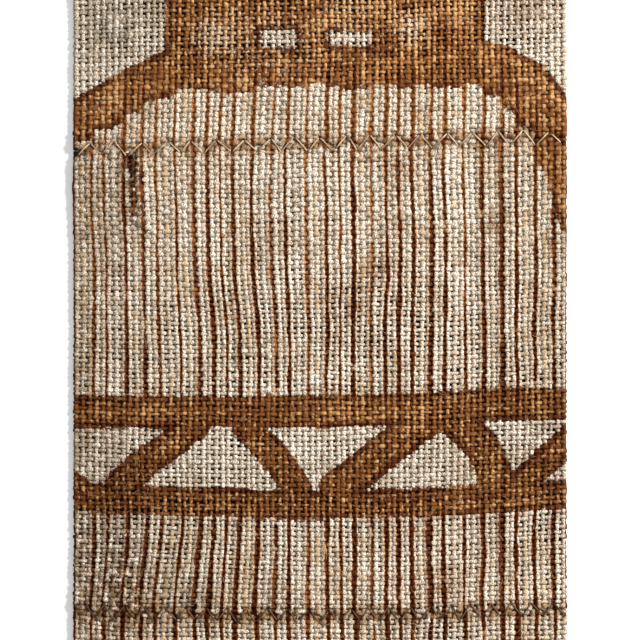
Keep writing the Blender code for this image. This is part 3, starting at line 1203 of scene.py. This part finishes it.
class KORHOGO_OT_weave_strips(Operator):
    """Weaves the three strips, each from its warp and its weft"""

    bl_idname = "korhogo.weave_strips"
    bl_label = "Weave strips"

    def execute(self, context):
        strips.update((node, Strip(node)) for node in STRIPS)
        material = painted_cotton()
        for node, strip in strips.items():
            warp, weft = weave_warp(strip, material), weave_weft(strip, material)
            for piece in (warp, weft):
                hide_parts(node)
        return {"FINISHED"}


class KORHOGO_OT_sew_seams(Operator):
    """Sews the strips together with two zigzag seams"""

    bl_idname = "korhogo.sew_seams"
    bl_label = "Sew seams"

    def execute(self, context):
        sewing = context.scene.korhogo_sewing
        threads = {
            "pale": sewing_thread("pale_thread", sewing.pale_thread),
            "dark": sewing_thread("dark_thread", sewing.dark_thread),
        }
        for seam in SEAMS:
            sew_zigzag(seam, threads[seam["finish"]])
        return {"FINISHED"}


class KORHOGO_OT_scatter_fibres(Operator):
    """Scatters loose cotton fibres over the cloth"""

    bl_idname = "korhogo.scatter_fibres"
    bl_label = "Scatter fibres"

    def execute(self, context):
        scatter_fibres(loose_cotton(context.scene.korhogo_dye))
        return {"FINISHED"}


class KORHOGO_OT_set_stage(Operator):
    """Sets the camera over the cloth, the floor under it and the lights round it"""

    bl_idname = "korhogo.set_stage"
    bl_label = "Set stage"

    def execute(self, context):
        stage = context.scene.korhogo_stage
        lay_square("floor", FLOOR_SIZE, FLOOR_HEIGHT, stage_finish("pale_floor", stage.floor, stage.glow))
        # A painted shadow sheet: it stands in for the shade in the cloth's gaps
        card = lay_square("dark_card", CARD_SIZE, CARD_HEIGHT, stage_finish("dark_card", stage.card, 0))
        card.scale = (HALF_CUT - CARD_INSET[0], CLOTH_HIGH[1] - CARD_INSET[1], 1)
        bpy.ops.object.transform_apply(location=True, rotation=True, scale=True)
        camera = bpy.data.objects.new("camera", bpy.data.cameras.new("camera"))
        context.scene.collection.objects.link(camera)
        camera.data.lens = stage.lens
        camera.data.sensor_width = 36
        camera.data.clip_start = 0.01
        camera.location = (0, stage.aim, stage.lens / camera.data.sensor_width * stage.scale + THICKNESS)
        context.scene.camera = camera
        for lamp in LAMPS:
            hang_lamp(**lamp)
        world = bpy.data.worlds.new("studio")
        world.use_nodes = True
        world.node_tree.nodes["Background"].inputs["Color"].default_value = (1, 1, 1, 1)
        world.node_tree.nodes["Background"].inputs["Strength"].default_value = ROOM_LIGHT
        context.scene.world = world
        context.scene.view_settings.view_transform = "Standard"
        return {"FINISHED"}


class KORHOGO_PT_cloth(Panel):
    """Lists the sizes and the steps of the cloth"""

    bl_idname = "KORHOGO_PT_cloth"
    bl_label = "Korhogo Cloth"
    bl_space_type = "VIEW_3D"
    bl_region_type = "UI"
    bl_category = "Korhogo Cloth"

    def draw(self, context):
        for title, group in SETTINGS.items():
            box = self.layout.box()
            box.label(text=group.__doc__)
            for key in group.__annotations__:
                box.prop(getattr(context.scene, title), key)
        for step in STEPS:
            self.layout.operator(step.bl_idname)


SETTINGS = {
    "korhogo_weave": WeaveSettings,
    "korhogo_dye": DyeSettings,
    "korhogo_sewing": SewingSettings,
    "korhogo_stage": StageSettings,
}
STEPS = (KORHOGO_OT_weave_strips, KORHOGO_OT_sew_seams, KORHOGO_OT_scatter_fibres, KORHOGO_OT_set_stage)


def register():
    for group in (*SETTINGS.values(), *STEPS, KORHOGO_PT_cloth):
        bpy.utils.register_class(group)
    for name, group in SETTINGS.items():
        setattr(bpy.types.Scene, name, PointerProperty(type=group))


def unregister():
    for name in SETTINGS:
        delattr(bpy.types.Scene, name)
    for group in reversed((*SETTINGS.values(), *STEPS, KORHOGO_PT_cloth)):
        bpy.utils.unregister_class(group)


def main():
    register()
    bpy.ops.korhogo.weave_strips()
    bpy.ops.korhogo.sew_seams()
    bpy.ops.korhogo.scatter_fibres()
    bpy.ops.korhogo.set_stage()


if __name__ == "__main__":
    main()
